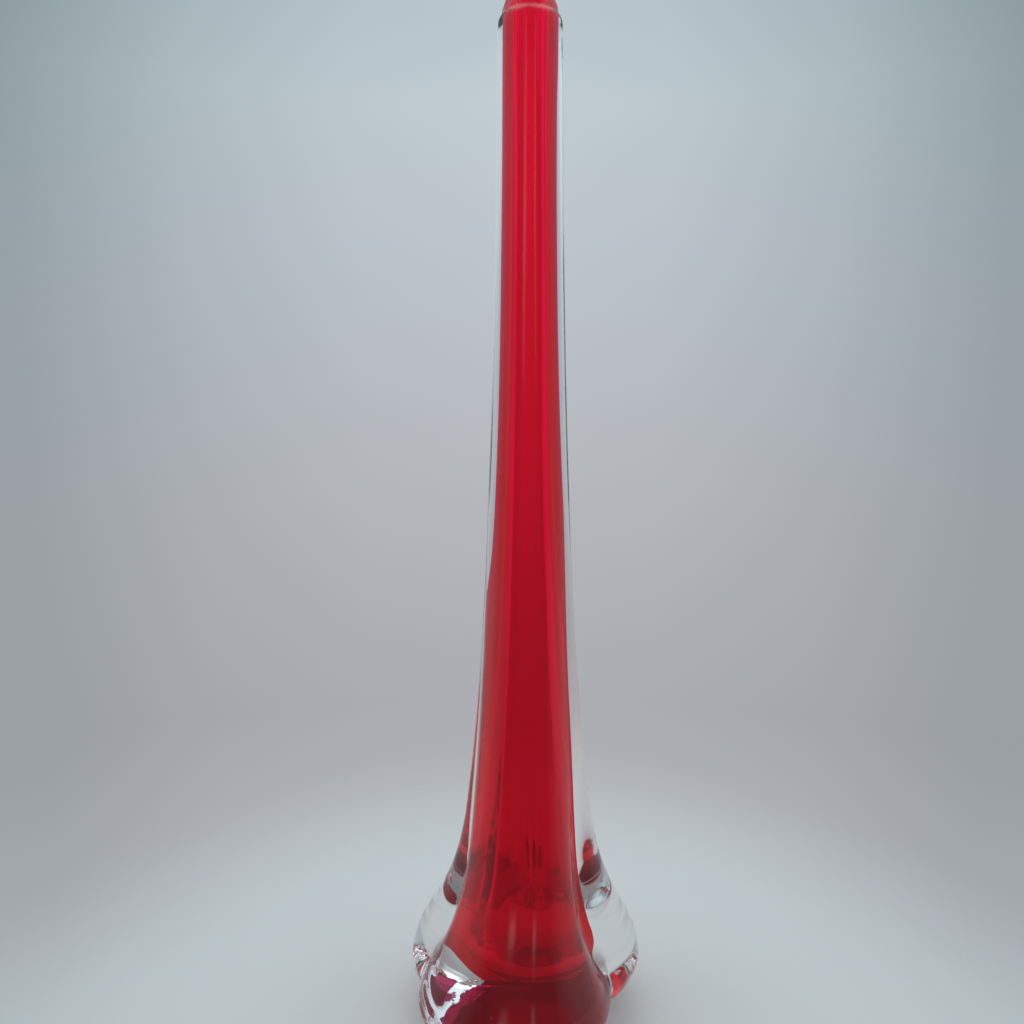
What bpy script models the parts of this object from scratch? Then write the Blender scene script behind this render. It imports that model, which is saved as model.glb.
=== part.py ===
"""Hand blown cased glass vase: a slim neck over a heavy three-lobed foot.

Two bodies of glass, built the way the vessel is gathered at the furnace:
  ruby_lining   the first gather, a long ruby bubble, open at the mouth and closed above the base
  clear_casing  the clear glass cased over it, drawn up into the neck and lip and pinched into three lobes below

Frame: origin on the neck's axis at the resting face, +Z up the neck, the front lobe towards -Y.  Metres.
"""
import math

import bmesh
import bpy
from mathutils import Vector

MM = 0.001

# ---- driving dimensions, millimetres -------------------------------------------------------------
HEIGHT = 380.0            # resting face to the top of the ruby lip
CASE_TOP = 378.6          # top of the clear lip, just under the ruby one
SHOULDER_Z = 368.6        # where the neck's outer wall rolls in under the lip
GAP = 0.3                 # clearance between the two gathers

# furthest reach of the lobes from the axis, by height: foot, flare, body and neck
REACH = [(0.0, 20.0), (1.0, 27.0), (2.5, 32.6), (5.0, 38.2), (10.0, 44.2), (16.0, 48.2), (22.0, 49.9),
         (30.0, 48.2), (37.0, 44.8), (45.0, 39.8), (54.0, 34.9), (64.0, 30.7), (73.0, 28.0),
         (83.0, 25.9), (99.0, 23.5), (115.0, 21.5), (131.0, 19.8), (150.0, 18.2), (170.0, 16.9),
         (207.0, 14.9), (243.0, 13.4), (278.0, 12.45), (312.0, 11.8), (345.0, 11.4), (368.6, 11.1)]

# how far each lobe's own centre stands off the axis, as a share of its offset at the foot
SPREAD = [(0.0, 1.0), (22.0, 1.0), (27.0, 0.98), (37.0, 0.85), (48.0, 0.64), (64.0, 0.41),
          (82.0, 0.26), (99.0, 0.19), (115.0, 0.14), (131.0, 0.10), (150.0, 0.07),
          (170.0, 0.045), (207.0, 0.015), (243.0, 0.0)]

# the three lobes: direction (degrees), offset at the foot, and size against the mean lobe
LOBES = [(-110.0, 14.9, 1.03), (36.0, 20.4, 0.985), (146.0, 18.7, 1.0)]

# the three pinched grooves between the lobes: direction (degrees), and depth by height
GROOVES = [-37.0, -168.0, 91.0]
GROOVE_WIDTH = 14.5       # degrees from the groove's line to where it has all but faded
GROOVE_DEPTH = [(0.0, 0.0), (16.0, 0.0), (24.0, 1.0), (32.0, 3.2), (40.0, 5.4), (48.0, 5.7),
                (58.0, 4.6), (70.0, 3.6), (90.0, 2.4), (115.0, 1.5), (150.0, 0.8), (205.0, 0.0)]
CREASE_BLEND = 0.9        # rounding of the crease where two lobes meet

# the round heart of the foot, which the lobes stand round; at the bottom it is the ground facet
HEART = [(0.0, 19.0), (1.0, 21.0), (3.0, 23.6), (8.0, 27.2), (16.0, 29.5), (25.0, 29.0), (34.0, 26.0), (45.0, 21.0)]
HEART_TOP = 52.0

# outside of the ruby bubble above its widest point, and the bowl that closes it below
RUBY = [(35.0, 20.3), (42.0, 19.5), (50.0, 17.8), (60.0, 15.9), (70.0, 14.65), (83.0, 13.6),
        (99.0, 12.7), (115.0, 11.9), (131.0, 11.0), (150.0, 10.1), (170.0, 9.4), (207.0, 8.2),
        (243.0, 7.3), (278.0, 6.65), (312.0, 6.3), (345.0, 6.1), (374.0, 6.0)]
RUBY_FLOOR_Z = 14.5       # underside of the bubble, but for its stem
BOWL_Z = 35.0             # height of its widest point
# the ruby runs down in a short solid stem, pressed out into a thin foot just above the base
STEM = [(0.0, 1.2), (9.0, 1.2), (17.0, 1.25), (18.2, 1.6), (18.5, 2.25), (18.2, 2.9), (16.8, 3.5),
        (13.8, 4.1), (11.6, 4.9), (10.2, 6.2), (9.5, 9.0), (9.7, 12.0), (10.8, 15.2), (12.4, 18.2)]
STEM_MEETS = 39.0         # degrees up the bowl where the stem runs into it
WALL_TOP, WALL_LOW = 1.9, 3.4      # ruby wall at the mouth and around the bowl
FLOOR = 5.0               # ruby thickness under the bore

RUBY_SIDES = 32
# angular steps from a groove to the middle of a lobe, in shares of the way: finer by the groove
LOBE_STEPS = [0.0, 0.07, 0.14, 0.22, 0.31, 0.42, 0.55, 0.70, 0.85]


def at(table, z):
    """Smooth curve through a table of (height, value), without overshoot."""
    if z <= table[0][0]:
        return table[0][1]
    if z >= table[-1][0]:
        return table[-1][1]
    k = max(i for i in range(len(table) - 1) if table[i][0] <= z)

    def rise(i):
        return (table[i + 1][1] - table[i][1]) / (table[i + 1][0] - table[i][0])

    def slope(i):
        if i == 0:
            return rise(0)
        if i == len(table) - 1:
            return rise(i - 1)
        a, b = rise(i - 1), rise(i)
        return 0.0 if a * b <= 0 else 2 * a * b / (a + b)

    (z0, v0), (z1, v1) = table[k], table[k + 1]
    h = z1 - z0
    t = (z - z0) / h
    return ((2 * t**3 - 3 * t * t + 1) * v0 + (t**3 - 2 * t * t + t) * h * slope(k)
            + (-2 * t**3 + 3 * t * t) * v1 + (t**3 - t * t) * h * slope(k + 1))


def casing_radius(phi, z):
    """Outside of the clear glass: three overlapping round lobes, with a groove pinched between each two."""
    reach, share = at(REACH, z), at(SPREAD, z)
    if share < 0.001:
        return reach
    low = max(0.0, min(1.0, (62.0 - z) / 32.0))
    low = low * low * (3 - 2 * low)
    lobes = []
    for direction, offset, size in LOBES:
        off = offset * share
        radius = reach * (1 + (size - 1) * low) - off
        turn = phi - math.radians(direction)
        side = off * math.sin(turn)
        if radius > abs(side):
            lobes.append(off * math.cos(turn) + math.sqrt(radius * radius - side * side))
    if z < HEART_TOP:
        lobes.append(at(HEART, z))
    k = CREASE_BLEND * min(1.0, share * 4)
    top = max(lobes)
    r = top + k * math.log(sum(math.exp((v - top) / k) for v in lobes))
    for g in GROOVES:
        turn = abs((phi - math.radians(g) + math.pi) % (2 * math.pi) - math.pi)
        r -= at(GROOVE_DEPTH, z) * math.exp(-(math.degrees(turn) / GROOVE_WIDTH) ** 1.5)
    return r


def ruby_outside():
    """(radius, height) from the middle of the pressed foot, up the stem, round the bowl and up to the lip."""
    points = list(STEM)
    wide, deep = RUBY[0][1], BOWL_Z - RUBY_FLOOR_Z
    for i in range(1, 5):
        a = math.radians(STEM_MEETS + (90 - STEM_MEETS) * i / 4)
        points.append((wide * math.sin(a), BOWL_Z - deep * math.cos(a)))
    for z in (42, 49, 57, 66, 76, 90, 106, 123, 141, 162, 190, 222, 258, 300, 340, 374):
        points.append((at(RUBY, z), float(z)))
    return points


def ruby_wall(z):
    t = max(0.0, min(1.0, (z - BOWL_Z) / (HEIGHT - BOWL_Z)))
    return WALL_LOW + (WALL_TOP - WALL_LOW) * t**0.6


def ruby_inside():
    """The bore, from the lip down to the middle of its floor."""
    points = []
    for z in (374, 340, 300, 258, 222, 190, 162, 141, 123, 106, 90, 76, 66, 57, 49, 42, 35):
        points.append((at(RUBY, z) - ruby_wall(z), float(z)))
    wide, deep = RUBY[0][1] - WALL_LOW, BOWL_Z - RUBY_FLOOR_Z - FLOOR
    for i in range(5, 0, -1):
        a = math.pi / 2 * i / 6
        points.append((wide * math.sin(a), BOWL_Z - deep * math.cos(a)))
    points.append((0.0, RUBY_FLOOR_Z + FLOOR))
    return points


def set_off(points, gap):
    """The same profile moved outwards by gap, square to itself."""
    moved = []
    for i, (r, z) in enumerate(points):
        r0, z0 = points[max(i - 1, 0)]
        r1, z1 = points[min(i + 1, len(points) - 1)]
        if i == 0:
            moved.append((0.0, z - gap))
            continue
        run = math.hypot(r1 - r0, z1 - z0)
        moved.append((r + gap * (z1 - z0) / run, z - gap * (r1 - r0) / run))
    return moved


def lobe_angles():
    """Directions round the casing, closer together beside the grooves."""
    grooves = sorted(g % 360 for g in GROOVES)
    angles = []
    for i, g in enumerate(grooves):
        half = ((grooves[(i + 1) % 3] - g) % 360) / 2
        angles += [g + half * s for s in LOBE_STEPS]
        angles.append(g + half)
        angles += [g + half * (2 - s) for s in reversed(LOBE_STEPS[1:])]
    return [math.radians(a) for a in angles]


def skin(name, rings, first, last):
    """A closed body from rings of points, with a fan to a middle point at each end."""
    bm = bmesh.new()
    start = bm.verts.new(first)
    loops = [[bm.verts.new(p) for p in ring] for ring in rings]
    end = bm.verts.new(last)
    n = len(rings[0])
    for j in range(n):
        bm.faces.new((start, loops[0][(j + 1) % n], loops[0][j]))
        for a, b in zip(loops, loops[1:]):
            bm.faces.new((a[j], a[(j + 1) % n], b[(j + 1) % n], b[j]))
        bm.faces.new((loops[-1][j], loops[-1][(j + 1) % n], end))
    bmesh.ops.recalc_face_normals(bm, faces=bm.faces)
    mesh = bpy.data.meshes.new(name)
    bm.to_mesh(mesh)
    bm.free()
    mesh.shade_smooth()
    mesh.set_sharp_from_angle(angle=math.radians(40))
    obj = bpy.data.objects.new(name, mesh)
    bpy.context.collection.objects.link(obj)
    return obj


def ring(radius, z, angles):
    return [Vector((radius(a) * math.cos(a), radius(a) * math.sin(a), z)) * MM for a in angles]


def glass(name, colour, roughness, transmission):
    material = bpy.data.materials.new(name)
    material.use_nodes = True
    shader = material.node_tree.nodes["Principled BSDF"]
    shader.inputs["Base Color"].default_value = (*colour, 1.0)
    shader.inputs["Roughness"].default_value = roughness
    shader.inputs["Metallic"].default_value = 0.0
    shader.inputs["IOR"].default_value = 1.5
    shader.inputs["Transmission Weight"].default_value = transmission
    return material


def build_lining():
    angles = [2 * math.pi * (j + 0.5) / RUBY_SIDES for j in range(RUBY_SIDES)]
    lip_r = at(RUBY, 374)
    bore = lip_r - ruby_wall(374)
    middle, half = (lip_r + bore) / 2, (lip_r - bore) / 2
    lip = [(middle + half * math.cos(t), 378.2 + (HEIGHT - 378.2) * math.sin(t))
           for t in (0.0, math.pi / 4, math.pi / 2, 3 * math.pi / 4, math.pi)]
    profile = ruby_outside()[1:] + lip + ruby_inside()[:-1]
    rings = [ring(lambda a, r=r: r, z, angles) for r, z in profile]
    return skin("ruby_lining", rings, Vector((0, 0, STEM[0][1])) * MM,
                Vector((0, 0, RUBY_FLOOR_Z + FLOOR)) * MM)


def build_casing():
    angles = lobe_angles()
    rings = [ring(lambda a: 0.5 * casing_radius(a, 0.0), 0.0, angles)]
    heights = [0, 0.4, 1.0, 2.0, 3.5, 6, 10, 15, 20, 25, 30, 35, 40, 46, 53, 61, 71, 83, 99, 118, 141, 170,
               207, 243, 278, 312, 345, SHOULDER_Z]
    for z in heights:
        rings.append(ring(lambda a, z=z: casing_radius(a, z), z, angles))
    # shoulder, then the narrower collar of the lip
    for r, z in ((10.85, 369.9), (10.4, 370.9), (9.85, 371.8), (9.5, 373.2), (9.05, 374.8),
                 (8.5, 376.2), (7.7, 377.7), (6.9, CASE_TOP)):
        rings.append(ring(lambda a, r=r: r, z, angles))
    pocket = set_off(ruby_outside(), GAP)
    lip_r = at(RUBY, 374) + GAP
    rings.append(ring(lambda a: lip_r, 378.2, angles))
    for r, z in reversed(pocket[1:]):
        rings.append(ring(lambda a, r=r: r, z, angles))
    return skin("clear_casing", rings, Vector((0, 0, 0)), Vector((0, 0, STEM[0][1] - GAP)) * MM)


def main():
    for obj in list(bpy.data.objects):
        bpy.data.objects.remove(obj, do_unlink=True)
    lining = build_lining()
    lining.data.materials.append(glass("ruby_glass", (0.62, 0.006, 0.02), 0.04, 0.85))
    casing = build_casing()
    casing.data.materials.append(glass("clear_glass", (0.92, 0.95, 0.96), 0.03, 1.0))


main()
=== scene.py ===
"""Looks of the hand blown cased glass vase: clear casing, ruby lining, seed bubbles, ground foot."""
import math
import random

import bpy
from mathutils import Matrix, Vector, noise


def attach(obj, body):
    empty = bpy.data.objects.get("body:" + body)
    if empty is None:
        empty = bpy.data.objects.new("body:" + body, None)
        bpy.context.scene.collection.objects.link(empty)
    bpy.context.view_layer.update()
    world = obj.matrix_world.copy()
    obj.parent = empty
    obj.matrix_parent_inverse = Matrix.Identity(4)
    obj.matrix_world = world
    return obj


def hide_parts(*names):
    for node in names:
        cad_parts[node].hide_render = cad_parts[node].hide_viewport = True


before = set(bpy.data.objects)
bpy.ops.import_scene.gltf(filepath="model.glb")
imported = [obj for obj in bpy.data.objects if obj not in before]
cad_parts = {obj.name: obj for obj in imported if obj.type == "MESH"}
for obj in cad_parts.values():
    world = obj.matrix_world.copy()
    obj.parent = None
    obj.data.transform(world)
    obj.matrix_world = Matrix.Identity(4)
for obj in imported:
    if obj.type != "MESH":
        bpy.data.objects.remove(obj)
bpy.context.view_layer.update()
MM = 0.001

# ---------------------------------------------------------------- shape, as the CAD has it (mm)
HEIGHT = 380.0
SHOULDER_Z = 368.6
REACH = [(0.0, 20.0), (1.0, 27.0), (2.5, 32.6), (5.0, 38.2), (10.0, 44.2), (16.0, 48.2), (22.0, 49.9),
         (30.0, 48.2), (37.0, 44.8), (45.0, 39.8), (54.0, 34.9), (64.0, 30.7), (73.0, 28.0),
         (83.0, 25.9), (99.0, 23.5), (115.0, 21.5), (131.0, 19.8), (150.0, 18.2), (170.0, 16.9),
         (207.0, 14.9), (243.0, 13.4), (278.0, 12.45), (312.0, 11.8), (345.0, 11.4), (368.6, 11.1)]
SPREAD = [(0.0, 1.0), (22.0, 1.0), (27.0, 0.98), (37.0, 0.85), (48.0, 0.64), (64.0, 0.41),
          (82.0, 0.26), (99.0, 0.19), (115.0, 0.14), (131.0, 0.10), (150.0, 0.07),
          (170.0, 0.045), (207.0, 0.015), (243.0, 0.0)]
LOBES = [(-110.0, 14.9, 1.03), (36.0, 20.4, 0.985), (146.0, 18.7, 1.0)]
GROOVES = [-37.0, -168.0, 91.0]
GROOVE_WIDTH = 14.5
GROOVE_DEPTH = [(0.0, 0.0), (16.0, 0.0), (24.0, 1.0), (32.0, 3.2), (40.0, 5.4), (48.0, 5.7),
                (58.0, 4.6), (70.0, 3.6), (90.0, 2.4), (115.0, 1.5), (150.0, 0.8), (205.0, 0.0)]
CREASE_BLEND = 0.9
HEART = [(0.0, 19.0), (1.0, 21.0), (3.0, 23.6), (8.0, 27.2), (16.0, 29.5), (25.0, 29.0), (34.0, 26.0), (45.0, 21.0)]
HEART_TOP = 52.0
RUBY = [(35.0, 20.3), (42.0, 19.5), (50.0, 17.8), (60.0, 15.9), (70.0, 14.65), (83.0, 13.6),
        (99.0, 12.7), (115.0, 11.9), (131.0, 11.0), (150.0, 10.1), (170.0, 9.4), (207.0, 8.2),
        (243.0, 7.3), (278.0, 6.65), (312.0, 6.3), (345.0, 6.1), (374.0, 6.0)]
RUBY_FLOOR_Z, BOWL_Z, FLOOR = 14.5, 35.0, 5.0
WALL_TOP, WALL_LOW = 1.9, 3.4


def at(table, z):
    if z <= table[0][0]:
        return table[0][1]
    if z >= table[-1][0]:
        return table[-1][1]
    k = max(i for i in range(len(table) - 1) if table[i][0] <= z)

    def rise(i):
        return (table[i + 1][1] - table[i][1]) / (table[i + 1][0] - table[i][0])

    def slope(i):
        if i == 0:
            return rise(0)
        if i == len(table) - 1:
            return rise(i - 1)
        a, b = rise(i - 1), rise(i)
        return 0.0 if a * b <= 0 else 2 * a * b / (a + b)

    (z0, v0), (z1, v1) = table[k], table[k + 1]
    h = z1 - z0
    t = (z - z0) / h
    return ((2 * t**3 - 3 * t * t + 1) * v0 + (t**3 - 2 * t * t + t) * h * slope(k)
            + (-2 * t**3 + 3 * t * t) * v1 + (t**3 - t * t) * h * slope(k + 1))


class Section:
    """The casing's outline at one height, with the table lookups done once."""

    def __init__(self, z):
        self.z, self.reach, self.share = z, at(REACH, z), at(SPREAD, z)
        self.heart = at(HEART, z) if z < HEART_TOP else None
        self.groove = at(GROOVE_DEPTH, z)
        low = max(0.0, min(1.0, (62.0 - z) / 32.0))
        self.low = low * low * (3 - 2 * low)

    def radius(self, phi):
        if self.share < 0.001:
            return self.reach
        lobes = []
        for direction, offset, size in LOBES:
            off = offset * self.share
            radius = self.reach * (1 + (size - 1) * self.low) - off
            turn = phi - math.radians(direction)
            side = off * math.sin(turn)
            if radius > abs(side):
                lobes.append(off * math.cos(turn) + math.sqrt(radius * radius - side * side))
        if self.heart is not None:
            lobes.append(self.heart)
        k = CREASE_BLEND * min(1.0, self.share * 4)
        top = max(lobes)
        r = top + k * math.log(sum(math.exp((v - top) / k) for v in lobes))
        for g in GROOVES:
            turn = abs((phi - math.radians(g) + math.pi) % (2 * math.pi) - math.pi)
            r -= self.groove * math.exp(-(math.degrees(turn) / GROOVE_WIDTH) ** 1.5)
        return r


def ruby_wall(z):
    t = max(0.0, min(1.0, (z - BOWL_Z) / (HEIGHT - BOWL_Z)))
    return WALL_LOW + (WALL_TOP - WALL_LOW) * t**0.6


# the ruby's stem stands on a thin pressed foot just above the base: radius, height
STEM = [(0.0, 1.2), (5.0, 1.2), (10.0, 1.2), (14.0, 1.2), (17.0, 1.25), (18.2, 1.5), (18.5, 2.2), (18.2, 2.9),
        (17.0, 3.5), (15.0, 3.9), (13.0, 4.3), (11.3, 5.0), (10.2, 6.2), (9.7, 8.0), (9.5, 10.0), (9.7, 12.0),
        (10.3, 14.0), (11.2, 16.0), (12.4, 18.2)]
FOOT_RADIUS = 18.5


def torn(phi):
    """The pressed foot's edge is torn: its reach at turn phi against a round one."""
    c, q = math.cos(phi), math.sin(phi)
    soft = noise.noise(Vector((c * 1.3 + 7, q * 1.3, 2.0)))
    hard = noise.noise(Vector((c * 7, q * 7, 5.0))) + 0.7 * noise.noise(Vector((c * 19, q * 19, 9.0)))
    turn = math.degrees(phi) % 360
    bite = max(0.0, min(1.0, (turn - 117) / 13)) * max(0.0, min(1.0, (178 - turn) / 12))
    bite = bite * bite * (3 - 2 * bite)
    return (1 + 0.06 * soft + 0.045 * hard) * (1 - 0.12 * bite)


# a scrap of ruby torn off the foot: reach, turn, half width along the reach and round, height, half thickness
SCRAP = (19.9, 157.0, 1.2, 20.0, 2.0, 0.5)


def scrap_rings(gap=0.0):
    reach, turn, wide, span, middle, thick = SCRAP
    rings = []
    for share, lift in ((0.55, -0.95), (0.85, -0.7), (0.97, -0.35), (1.0, 0.0), (0.97, 0.35), (0.85, 0.7), (0.55, 0.95)):
        ring = []
        for j in range(48):
            t = 2 * math.pi * j / 48
            rough = 1 + 0.16 * noise.noise(Vector((math.cos(t) * 2.5, math.sin(t) * 2.5, 3.0)))
            rough += 0.10 * noise.noise(Vector((math.cos(t) * 7, math.sin(t) * 7, 8.0)))
            r = reach + (wide * share * rough + gap) * math.cos(t)
            a = math.radians(turn) + (math.radians(span) * share * rough + gap / reach) * math.sin(t)
            ring.append((r * math.cos(a), r * math.sin(a), middle + lift * (thick + gap)))
        rings.append(ring)
    a = math.radians(turn)
    foot = (reach * math.cos(a), reach * math.sin(a), middle - thick - gap)
    top = (foot[0], foot[1], middle + thick + gap)
    return rings, foot, top


def add_shell(verts, faces, slots, shell, slot):
    more, skins = shell
    start = len(verts)
    verts += more
    faces += [tuple(v + start for v in f) for f in skins]
    slots += [slot] * len(skins)


def ruby_profile(step):
    points = list(STEM)
    wide, deep = RUBY[0][1], BOWL_Z - RUBY_FLOOR_Z
    for i in range(1, 17):
        t = math.radians(39 + 51 * i / 16)
        points.append((wide * math.sin(t), BOWL_Z - deep * math.cos(t)))
    z = BOWL_Z + step
    while z < 377.5:
        points.append((at(RUBY, z), z))
        z += step
    return points


def ruby_rings(angles, gap=0.0):
    """The ruby's outside, ring by ring from the middle of its underside, moved out by gap."""
    points = ruby_profile(3.0)
    tears = [torn(a) - 1 for a in angles]
    rings = []
    for i in range(1, len(points)):
        (r0, z0), (r1, z1) = points[i - 1], points[min(i + 1, len(points) - 1)]
        length = math.hypot(r1 - r0, z1 - z0)
        r, z = points[i][0] + gap * (z1 - z0) / length, points[i][1] - gap * (r1 - r0) / length
        share = max(0.0, min(1.0, (r - 9.0) / (FOOT_RADIUS - 9.0))) if z < 6 else 0.0
        rings.append([(r * (1 + share * t) * math.cos(a), r * (1 + share * t) * math.sin(a), z)
                      for a, t in zip(angles, tears)])
    return rings


def ruby_inside(step, rows):
    points = []
    z = 377.5
    while z > BOWL_Z + step / 2:
        points.append((at(RUBY, z) - ruby_wall(z), z))
        z -= step
    wide, deep = RUBY[0][1] - WALL_LOW, BOWL_Z - RUBY_FLOOR_Z - FLOOR
    points += [(wide * math.sin(math.pi / 2 * i / rows), BOWL_Z - deep * math.cos(math.pi / 2 * i / rows))
               for i in range(rows, 0, -1)]
    return points


def tube(rings, first=None, last=None):
    """Faces of a skin through rings of points, closed by a fan at each end that has a middle point."""
    verts, faces = [], []
    n = len(rings[0])
    for r in rings:
        verts += r
    for i in range(len(rings) - 1):
        for j in range(n):
            k = (j + 1) % n
            faces.append((i * n + j, i * n + k, (i + 1) * n + k, (i + 1) * n + j))
    if first is not None:
        verts.append(first)
        faces += [(len(verts) - 1, (j + 1) % n, j) for j in range(n)]
    if last is not None:
        verts.append(last)
        top = (len(rings) - 1) * n
        faces += [(top + j, top + (j + 1) % n, len(verts) - 1) for j in range(n)]
    return verts, faces


def mesh_object(name, verts, faces, joint=None, ground=None):
    mesh = bpy.data.meshes.new(name)
    mesh.from_pydata([Vector(v) * MM for v in verts], [], faces)
    mesh.validate()
    if joint:
        mesh.attributes.new("joint", "FLOAT", "FACE").data.foreach_set("value", joint)
    if ground:
        mesh.attributes.new("ground", "FLOAT", "FACE").data.foreach_set("value", ground)
    mesh.shade_smooth()
    mesh.update()
    obj = bpy.data.objects.new(name, mesh)
    bpy.context.scene.collection.objects.link(obj)
    return obj


# where the jacks pinched the lobes: direction, width in degrees, height, how tall, depth, pitch of the folds
MARKS = [(2.0, 17.0, 43.0, 6.5, 0.32, 6.0), (-14.0, 10.0, 30.0, 9.0, 0.28, 7.5), (172.0, 16.0, 43.0, 6.5, 0.30, 6.5),
         (60.0, 20.0, 30.0, 8.0, 0.18, 9.0), (-150.0, 9.0, 26.0, 8.0, 0.22, 6.5)]


def wave(a, z):
    """Slow waves of the drawn glass, 0.1 mm or so deep, longer up the neck than round it."""
    c, q = math.cos(a), math.sin(a)
    slow = noise.noise(Vector((c * 1.6 + 3, q * 1.6, z / 55)))
    draw = noise.noise(Vector((c * 6, q * 6 + 4, z / 130)))
    fade = max(0.0, min(1.0, (z - 4) / 12))
    marks = 0.0
    for direction, width, middle, tall, depth, pitch in MARKS:
        turn = math.degrees(abs((a - math.radians(direction) + math.pi) % (2 * math.pi) - math.pi))
        if turn < 2.5 * width and abs(z - middle) < 2.5 * tall:
            patch = math.exp(-(turn / width) ** 2 - ((z - middle) / tall) ** 2)
            marks += depth * patch * math.sin(2 * math.pi * (z + 0.09 * turn + 1.4 * slow) / pitch)
    return (0.10 * slow + 0.035 * draw) * fade + marks


def ripple(a, z):
    """Draw lines down the bore, stronger at the worked lip and in the belly."""
    c, q = math.cos(a), math.sin(a)
    lip, belly = max(0.0, min(1.0, (z - 320) / 45)), max(0.0, min(1.0, (150 - z) / 70))
    long = noise.noise(Vector((c * 4, q * 4, z / 150))) * (0.07 + 0.40 * lip + 0.10 * belly)
    fine = noise.noise(Vector((c * 7 + 5, q * 7, z / 90))) * (0.045 + 0.10 * lip + 0.02 * belly)
    return (long + fine) * max(0.0, min(1.0, (378 - z) / 6))


def worked(a, z):
    """Little flats and folds left where the lip was cut and fire polished."""
    c, q = math.cos(a), math.sin(a)
    share = max(0.0, min(1.0, (z - 369.2) / 2.0)) * max(0.0, min(1.0, (378.3 - z) / 1.5))
    return 0.16 * share * (noise.noise(Vector((c * 3.5 + 2, q * 3.5, z / 5)))
                           + 0.6 * noise.noise(Vector((c * 8, q * 8 + 3, z / 3))))


def ring_at(z, angles, radius):
    return [(radius(a) * math.cos(a), radius(a) * math.sin(a), z) for a in angles]


# ---------------------------------------------------------------- clear casing
SIDES = 240
angles = [2 * math.pi * j / SIDES for j in range(SIDES)]


def build_clear():
    rings, kind = [], []
    # underside: ground flat, out from the middle
    base = Section(0.0)
    for s in (0.12, 0.3, 0.5, 0.7, 0.86, 0.95):
        rings.append(ring_at(0.0, angles, lambda a: base.radius(a) * s))
    z = 0.0
    heights = []
    while z < 70:
        heights.append(z)
        z += 0.35 if z < 4 else 0.7
    while z < SHOULDER_Z - 1:
        heights.append(z)
        z += 3.0
    heights.append(SHOULDER_Z)
    for z in heights:
        sec = Section(z)
        rings.append(ring_at(z, angles, lambda a: sec.radius(a) + wave(a, z)))
    lip = [(11.05, 369.2), (10.88, 369.9), (10.65, 370.5), (10.3, 371.0), (9.98, 371.5), (9.75, 372.0), (9.62, 372.6),
           (9.5, 373.3), (9.3, 374.1), (9.05, 374.8), (8.75, 375.6), (8.4, 376.4), (8.0, 377.1), (7.6, 377.8),
           (7.2, 378.3), (6.8, 378.55), (6.4, 378.6), (6.12, 378.3)]
    for r, z in lip:
        rings.append(ring_at(z, angles, lambda a: r + worked(a, z)))
    outer = len(rings)
    gap = 0.04
    rings += reversed(ruby_rings(angles, gap))
    verts, faces = tube(rings, (0, 0, 0), (0, 0, STEM[0][1] - gap))
    n = SIDES
    slots = []
    for i in range(len(rings) - 1):
        slots += [1.0 if i >= outer - 1 else 0.0] * n
    slots += [0.0] * n + [1.0] * n
    hollow, low, high = scrap_rings(gap)
    add_shell(verts, faces, slots, tube(hollow[::-1], high, low), 1.0)
    for place, size in seeds():
        add_seed(verts, faces, slots, place, size)
    ground = [1.0 if all(verts[v][2] < 0.01 for v in f) else 0.0 for f in faces]
    return mesh_object("clear_glass", verts, faces, slots, ground)


def seeds():
    """Tiny bubbles caught in the clear glass: a few up the body, more in the foot and by the torn edge."""
    rnd = random.Random(7)
    found = []
    while len(found) < 46:
        z = 5 + 60 * rnd.random() ** 1.6
        phi = rnd.uniform(-math.pi, math.pi)
        outer = Section(z).radius(phi)
        inner = max([r for r, h in ruby_profile(3.0) if abs(h - z) < 4] + [10.0])
        if outer - inner > 5:
            r = rnd.uniform(inner + 1.2, outer - 2.5)
            found.append(((r * math.cos(phi), r * math.sin(phi), z), rnd.uniform(0.09, 0.2)))
    for _ in range(60):
        phi = math.radians(rnd.uniform(60, 230))
        r = FOOT_RADIUS * torn(phi) + rnd.uniform(0.45, 1.4)
        found.append(((r * math.cos(phi), r * math.sin(phi), rnd.uniform(1.6, 3.4)), rnd.uniform(0.14, 0.34)))
    while len(found) < 130:
        z = 4 + 14 * rnd.random() ** 1.5
        phi = math.radians(rnd.uniform(-150, -40))
        outer = Section(z).radius(phi)
        if outer > 30:
            r = rnd.uniform(22.0, outer - 2.0)
            found.append(((r * math.cos(phi), r * math.sin(phi), z), rnd.uniform(0.16, 0.3)))
    for _ in range(26):
        phi = math.radians(rnd.uniform(0, 360))
        r = rnd.uniform(11.5, 16.0)
        found.append(((r * math.cos(phi), r * math.sin(phi), rnd.uniform(5.2, 6.4)), rnd.uniform(0.08, 0.16)))
    return found


def add_seed(verts, faces, slots, place, size):
    """A little round cavity, so its faces look inwards."""
    start = len(verts)
    stretch = 1.25
    verts.append((place[0], place[1], place[2] + size * stretch))
    for i in (1, 2, 3):
        t = math.pi * i / 4
        for j in range(8):
            a = math.pi / 4 * j
            verts.append((place[0] + size * math.sin(t) * math.cos(a), place[1] + size * math.sin(t) * math.sin(a),
                          place[2] + size * stretch * math.cos(t)))
    verts.append((place[0], place[1], place[2] - size * stretch))
    new = []
    for j in range(8):
        k = (j + 1) % 8
        new.append((start, start + 1 + k, start + 1 + j))
        for i in range(2):
            p, q = start + 1 + 8 * i, start + 9 + 8 * i
            new.append((p + j, p + k, q + k, q + j))
        new.append((start + 17 + j, start + 17 + k, start + 25))
    faces += new
    slots += [0.0] * len(new)


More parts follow.
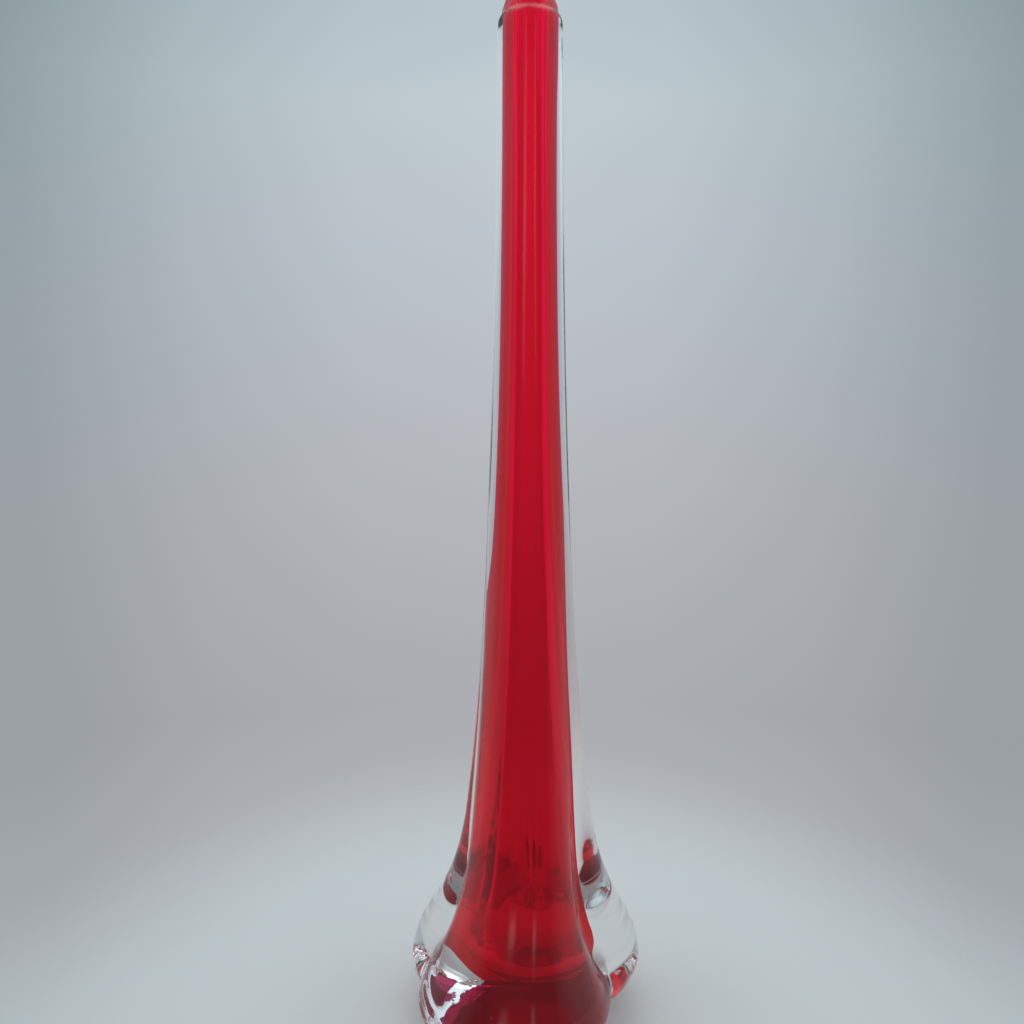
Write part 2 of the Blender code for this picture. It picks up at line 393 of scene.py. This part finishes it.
# ---------------------------------------------------------------- ruby lining
def build_ruby():
    sides, ang = SIDES, angles
    out = ruby_profile(3.0)
    skin = ruby_rings(ang)
    ins = ruby_inside(3.0, 24)
    r1, r0 = out[-1][0], ins[0][0]
    mid, half = (r1 + r0) / 2, (r1 - r0) / 2
    lip = [(mid + half * math.cos(math.pi * i / 12), 378.2 + 1.8 * math.sin(math.pi * i / 12)) for i in range(13)]
    rings = skin + [ring_at(z, ang, lambda a: r) for r, z in lip]
    for r, z in ins:
        rings.append(ring_at(z, ang, lambda a: r + ripple(a, z)))
    verts, faces = tube(rings, (0, 0, STEM[0][1]), (0, 0, RUBY_FLOOR_Z + FLOOR))
    slots = []
    for i in range(len(rings) - 1):
        slots += [1.0 if i < len(skin) - 1 else 0.0] * sides
    slots += [1.0] * sides + [0.0] * sides
    scrap, low, high = scrap_rings()
    add_shell(verts, faces, slots, tube(scrap, low, high), 1.0)
    return mesh_object("ruby_glass", verts, faces, slots)


# ---------------------------------------------------------------- materials
def glass(name, colour, absorb=None, density=0.0, roughness=0.0, ground=0.0):
    m = bpy.data.materials.new(name)
    m.use_nodes = True
    nt = m.node_tree
    p = nt.nodes["Principled BSDF"]
    p.inputs["Base Color"].default_value = (*colour, 1)
    p.inputs["Transmission Weight"].default_value = 1.0
    p.inputs["Roughness"].default_value = roughness
    p.inputs["IOR"].default_value = 1.5
    fused = nt.nodes.new("ShaderNodeAttribute")
    fused.attribute_name = "joint"
    bend = nt.nodes.new("ShaderNodeMapRange")
    bend.inputs["To Min"].default_value = 1.5
    bend.inputs["To Max"].default_value = 1.0
    nt.links.new(fused.outputs["Fac"], bend.inputs["Value"])
    nt.links.new(bend.outputs["Result"], p.inputs["IOR"])
    if ground:
        face = nt.nodes.new("ShaderNodeAttribute")
        face.attribute_name = "ground"
        mat = nt.nodes.new("ShaderNodeMapRange")
        mat.inputs["To Min"].default_value = roughness
        mat.inputs["To Max"].default_value = ground
        nt.links.new(face.outputs["Fac"], mat.inputs["Value"])
        nt.links.new(mat.outputs["Result"], p.inputs["Roughness"])
    if absorb:
        v = nt.nodes.new("ShaderNodeVolumeAbsorption")
        v.inputs["Color"].default_value = (*absorb, 1)
        v.inputs["Density"].default_value = density
        nt.links.new(v.outputs[0], nt.nodes["Material Output"].inputs["Volume"])
    return m


clear = build_clear()
ruby = build_ruby()
CLEAR_ABS = ((0.90, 0.95, 0.96), 2.0)
RUBY_ABS = ((0.996, 0.10, 0.68), 1100.0)


def shades(m, stops, noise_scale, amount, rough=(0.0, 0.0), bump=None, core=0.0):
    """Base colour by height (on the ruby, painted shade low down and painted light up the neck) with a soft
    cloudiness, roughness that wanders, and fine waves in the surface.
    """
    nt = m.node_tree
    p = nt.nodes["Principled BSDF"]
    place = nt.nodes.new("ShaderNodeTexCoord")
    split = nt.nodes.new("ShaderNodeSeparateXYZ")
    nt.links.new(place.outputs["Object"], split.inputs[0])
    height = nt.nodes.new("ShaderNodeMapRange")
    height.inputs["From Max"].default_value = HEIGHT * MM
    level = split.outputs["Z"]
    if core:
        # the solid stem keeps the body's colour right down; only the pressed foot round it is darker, and that
        # darkness is painted shade
        flat = nt.nodes.new("ShaderNodeVectorMath")
        flat.operation = "MULTIPLY"
        flat.inputs[1].default_value = (1, 1, 0)
        nt.links.new(place.outputs["Object"], flat.inputs[0])
        out = nt.nodes.new("ShaderNodeVectorMath")
        out.operation = "LENGTH"
        nt.links.new(flat.outputs[0], out.inputs[0])
        lift = nt.nodes.new("ShaderNodeMapRange")
        for key, value in (("From Min", 0.008), ("From Max", 0.016), ("To Min", core * MM), ("To Max", 0.0)):
            lift.inputs[key].default_value = value
        nt.links.new(out.outputs["Value"], lift.inputs["Value"])
        higher = nt.nodes.new("ShaderNodeMath")
        higher.operation = "MAXIMUM"
        nt.links.new(split.outputs["Z"], higher.inputs[0])
        nt.links.new(lift.outputs["Result"], higher.inputs[1])
        level = higher.outputs[0]
    nt.links.new(level, height.inputs["Value"])
    ramp = nt.nodes.new("ShaderNodeValToRGB")
    e = ramp.color_ramp.elements
    e[0].position, e[1].position = stops[0][0] / HEIGHT, stops[-1][0] / HEIGHT
    e[0].color, e[1].color = (*stops[0][1], 1), (*stops[-1][1], 1)
    for z, colour in stops[1:-1]:
        e.new(z / HEIGHT).color = (*colour, 1)
    nt.links.new(height.outputs["Result"], ramp.inputs["Fac"])
    stretch = nt.nodes.new("ShaderNodeMapping")
    stretch.inputs["Scale"].default_value = (1, 1, 0.22)
    nt.links.new(place.outputs["Object"], stretch.inputs["Vector"])
    cloud = nt.nodes.new("ShaderNodeTexNoise")
    cloud.inputs["Scale"].default_value = noise_scale
    cloud.inputs["Detail"].default_value = 3.0
    nt.links.new(stretch.outputs[0], cloud.inputs["Vector"])
    spread = nt.nodes.new("ShaderNodeMapRange")
    spread.inputs["From Min"].default_value = 0.3
    spread.inputs["From Max"].default_value = 0.7
    spread.inputs["To Min"].default_value = 1 - amount
    spread.inputs["To Max"].default_value = 1.0
    nt.links.new(cloud.outputs["Fac"], spread.inputs["Value"])
    tint = nt.nodes.new("ShaderNodeVectorMath")
    tint.operation = "SCALE"
    nt.links.new(ramp.outputs["Color"], tint.inputs[0])
    nt.links.new(spread.outputs["Result"], tint.inputs["Scale"])
    nt.links.new(tint.outputs[0], p.inputs["Base Color"])
    # roughness: wiped and handled patches, and the ground face on the casing
    grain = nt.nodes.new("ShaderNodeTexNoise")
    grain.inputs["Scale"].default_value = 45.0
    grain.inputs["Detail"].default_value = 4.0
    nt.links.new(place.outputs["Object"], grain.inputs["Vector"])
    wander = nt.nodes.new("ShaderNodeMapRange")
    wander.inputs["From Min"].default_value = 0.45
    wander.inputs["From Max"].default_value = 0.75
    wander.inputs["To Min"].default_value, wander.inputs["To Max"].default_value = rough
    nt.links.new(grain.outputs["Fac"], wander.inputs["Value"])
    if bump:
        scale, strength, far = bump
        swell = nt.nodes.new("ShaderNodeTexNoise")
        swell.inputs["Scale"].default_value = scale
        swell.inputs["Detail"].default_value = 1.5
        nt.links.new(stretch.outputs[0], swell.inputs["Vector"])
        b = nt.nodes.new("ShaderNodeBump")
        b.inputs["Strength"].default_value = strength
        b.inputs["Distance"].default_value = far
        nt.links.new(swell.outputs["Fac"], b.inputs["Height"])
        nt.links.new(b.outputs[0], p.inputs["Normal"])
    if p.inputs["Roughness"].is_linked:
        face = p.inputs["Roughness"].links[0].from_node
        nt.links.new(wander.outputs["Result"], face.inputs["To Min"])
    else:
        nt.links.new(wander.outputs["Result"], p.inputs["Roughness"])


clear_look = glass("clear_glass", (1, 1, 1), *CLEAR_ABS, roughness=0.01, ground=0.12)
shades(clear_look, [(0, (0.97, 0.975, 0.97)), (60, (0.99, 0.995, 0.99)), (380, (1.0, 1.0, 1.0))], 18.0, 0.02,
       rough=(0.0, 0.035), bump=(70.0, 0.12, 0.0006))
ruby_look = glass("ruby_glass", (0.9, 0.05, 0.1), *RUBY_ABS, roughness=0.1)
# the ruby's own red, graded by height: the dark low stops at the foot are painted shade, the rise to full red up the
# neck is painted light
shades(ruby_look, [(0, (0.245, 0.05, 0.105)), (8, (0.265, 0.05, 0.105)), (13, (0.68, 0.05, 0.20)), (30, (0.70, 0.05, 0.25)),
                   (90, (0.77, 0.05, 0.27)), (180, (0.88, 0.05, 0.29)), (260, (1.0, 0.05, 0.30)), (380, (1.0, 0.06, 0.32))],
       24.0, 0.10, rough=(0.05, 0.12), core=12.0)
# painted light: a faint red emission makes the ruby glow brighter than the tent and lamp light it
ruby_painted_glow = ruby_look.node_tree.nodes["Principled BSDF"]
ruby_painted_glow.inputs["Emission Color"].default_value = (1.0, 0.015, 0.10, 1)
ruby_painted_glow.inputs["Emission Strength"].default_value = 0.034
clear.data.materials.append(clear_look)
ruby.data.materials.append(ruby_look)
for piece, node in ((clear, "clear_casing"), (ruby, "ruby_lining")):
    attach(piece, "root")
    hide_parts(node)

# ---------------------------------------------------------------- floor, light tent and camera
scene = bpy.context.scene
bpy.ops.mesh.primitive_circle_add(vertices=128, radius=0.4, fill_type="NGON", location=(0, 0, -0.0002))
floor = bpy.context.object
floor.name = "floor"
fm = bpy.data.materials.new("floor")
fm.use_nodes = True
nt = fm.node_tree
p = nt.nodes["Principled BSDF"]
p.inputs["Base Color"].default_value = (0.79, 0.80, 0.775, 1)
p.inputs["Roughness"].default_value = 0.6
geo = nt.nodes.new("ShaderNodeNewGeometry")
length = nt.nodes.new("ShaderNodeVectorMath")
length.operation = "LENGTH"
ramp = nt.nodes.new("ShaderNodeMapRange")
ramp.interpolation_type = "SMOOTHSTEP"
ramp.inputs["From Min"].default_value = 0.10
ramp.inputs["From Max"].default_value = 0.26
clearb = nt.nodes.new("ShaderNodeBsdfTransparent")
mix = nt.nodes.new("ShaderNodeMixShader")
nt.links.new(geo.outputs["Position"], length.inputs[0])
nt.links.new(length.outputs["Value"], ramp.inputs["Value"])
nt.links.new(ramp.outputs["Result"], mix.inputs["Fac"])
nt.links.new(p.outputs[0], mix.inputs[1])
nt.links.new(clearb.outputs[0], mix.inputs[2])
nt.links.new(mix.outputs[0], nt.nodes["Material Output"].inputs["Surface"])
floor.data.materials.append(fm)

world = bpy.data.worlds.new("tent")
scene.world = world
world.use_nodes = True
nt = world.node_tree
bg = nt.nodes["Background"]


def node(kind, **inputs):
    n = nt.nodes.new(kind)
    for key, value in inputs.items():
        n.inputs[key.replace("_", " ")].default_value = value
    return n


def math_node(operation, a, b=None):
    n = nt.nodes.new("ShaderNodeMath")
    n.operation = operation
    for i, v in enumerate((a, b)):
        if v is None:
            continue
        if isinstance(v, (int, float)):
            n.inputs[i].default_value = v
        else:
            nt.links.new(v, n.inputs[i])
    return n.outputs[0]


def ramp_node(source, stops):
    n = nt.nodes.new("ShaderNodeValToRGB")
    e = n.color_ramp.elements
    e[0].position, e[1].position = stops[0][0], stops[-1][0]
    e[0].color, e[1].color = (*stops[0][1], 1), (*stops[-1][1], 1)
    for place, colour in stops[1:-1]:
        e.new(place).color = (*colour, 1)
    nt.links.new(source, n.inputs["Fac"])
    return n.outputs["Color"]


def grey(stops):
    return [(p, (v, v, v)) for p, v in stops]


co = nt.nodes.new("ShaderNodeTexCoord")
sep = nt.nodes.new("ShaderNodeSeparateXYZ")
nt.links.new(co.outputs["Generated"], sep.inputs[0])
up = math_node("MULTIPLY_ADD", sep.outputs["Z"], 0.5)
up.node.inputs[2].default_value = 0.5
# the tent's wall and sweep, by how high one looks
wall = ramp_node(up, [(0.0, (0.50, 0.545, 0.56)), (0.212, (0.485, 0.533, 0.552)), (0.253, (0.451, 0.462, 0.491)),
                      (0.326, (0.413, 0.418, 0.445)), (0.438, (0.468, 0.474, 0.503)), (0.553, (0.503, 0.546, 0.584)),
                      (0.654, (0.533, 0.604, 0.651)), (0.693, (0.491, 0.565, 0.617)), (0.80, (0.60, 0.68, 0.74)),
                      (1.0, (0.85, 0.93, 1.0))])
turn = math_node("ABSOLUTE", math_node("ARCTAN2", sep.outputs["X"], sep.outputs["Y"]))
share = math_node("DIVIDE", turn, math.pi)
corner = ramp_node(share, grey([(0.0, 0.0), (0.055, 0.11), (0.111, 0.44), (0.167, 1.0), (0.22, 1.0), (0.34, 0.15), (1.0, 0.0)]))
depth = nt.nodes.new("ShaderNodeMapRange")
for key, value in (("From Min", -0.55), ("From Max", 0.39), ("To Min", 0.13), ("To Max", 0.5)):
    depth.inputs[key].default_value = value
nt.links.new(sep.outputs["Z"], depth.inputs["Value"])
keep = math_node("SUBTRACT", 1.0, math_node("MULTIPLY", corner, depth.outputs["Result"]))
# the side the vase is looked at from stands open and is darker; seen straight it's the same pale cloth
opening = ramp_node(share, grey([(0.0, 1.0), (0.58, 1.0), (0.66, 0.66), (0.75, 0.27), (1.0, 0.25)]))
path = nt.nodes.new("ShaderNodeLightPath")
gain = ramp_node(up, grey([(0.0, 0.50), (0.35, 0.51), (0.50, 0.55), (0.65, 0.60), (1.0, 0.62)]))
lamp = math_node("MULTIPLY", opening, math_node("MULTIPLY", gain, 2.0))
away = math_node("SUBTRACT", 1.0, path.outputs["Is Camera Ray"])
seen = math_node("ADD", math_node("MULTIPLY", lamp, away), path.outputs["Is Camera Ray"])
overall = math_node("MULTIPLY", keep, seen)
# two tall gaps in the tent's open side show as thin pale lines down the glass
signed = math_node("ARCTAN2", sep.outputs["X"], sep.outputs["Y"])


def strip(degrees, width, bright):
    off = math_node("ABSOLUTE", math_node("SUBTRACT", signed, math.radians(degrees)))
    n = nt.nodes.new("ShaderNodeMapRange")
    n.interpolation_type = "SMOOTHSTEP"
    for key, value in (("From Min", 0.0), ("From Max", math.radians(width)), ("To Min", bright), ("To Max", 0.0)):
        n.inputs[key].default_value = value
    nt.links.new(off, n.inputs["Value"])
    return n.outputs["Result"]


def between(low, high):
    n = ramp_node(up, grey([(0.0, 0.0), (0.5 + low / 2 - 0.04, 0.0), (0.5 + low / 2 + 0.04, 1.0),
                            (0.5 + high / 2 - 0.05, 1.0), (0.5 + high / 2 + 0.05, 0.0), (1.0, 0.0)]))
    return n


lines = math_node("ADD", strip(-164.5, 8.5, 1.5), strip(161.0, 4.0, 1.35))
lines = math_node("MULTIPLY", lines, between(0.13, 0.37))
sides = math_node("ADD", strip(-74.0, 26.0, 0.34), strip(74.0, 26.0, 0.26))
sides = math_node("MULTIPLY", sides, between(-0.40, 0.60))
lines = math_node("MULTIPLY", math_node("ADD", lines, sides), away)
overall = math_node("ADD", overall, lines)
# the corners go dark and cool, not grey
cool = nt.nodes.new("ShaderNodeVectorMath")
cool.operation = "SCALE"
cool.inputs[0].default_value = (0.0, 0.10, 0.105)
nt.links.new(math_node("MULTIPLY", corner, depth.outputs["Result"]), cool.inputs["Scale"])
tinted = nt.nodes.new("ShaderNodeVectorMath")
tinted.operation = "ADD"
nt.links.new(wall, tinted.inputs[0])
nt.links.new(cool.outputs[0], tinted.inputs[1])
wall = tinted.outputs[0]
scaled = nt.nodes.new("ShaderNodeVectorMath")
scaled.operation = "SCALE"
nt.links.new(wall, scaled.inputs[0])
nt.links.new(overall, scaled.inputs["Scale"])
nt.links.new(scaled.outputs[0], bg.inputs["Color"])


def softbox(name, place, aim, size, power):
    data = bpy.data.lights.new(name, "AREA")
    data.shape = "RECTANGLE"
    data.size, data.size_y = size
    data.energy = power
    obj = bpy.data.objects.new(name, data)
    obj.location = place
    obj.rotation_euler = (Vector(aim) - Vector(place)).to_track_quat("-Z", "Y").to_euler()
    scene.collection.objects.link(obj)
    return obj


softbox("top_light", (0, 0.1, 1.2), (0, 0, 0), (1.1, 1.1), 2.2)

cam = bpy.data.cameras.new("camera")
cam.sensor_width = 36.0
cam.lens = 850.0 / 1024.0 * 36.0
cam.clip_start, cam.clip_end = 0.01, 20
view = bpy.data.objects.new("camera", cam)
view.location = (-6.2 * MM, -307.96 * MM, 245.13 * MM)
view.rotation_euler = (math.radians(90 - 7.9035), 0, 0)
scene.collection.objects.link(view)
scene.camera = view

scene.cycles.max_bounces = 32
scene.cycles.transmission_bounces = 32
scene.cycles.transparent_max_bounces = 16
scene.cycles.glossy_bounces = 8
scene.cycles.caustics_refractive = True
scene.cycles.caustics_reflective = True
scene.view_settings.view_transform = "Standard"
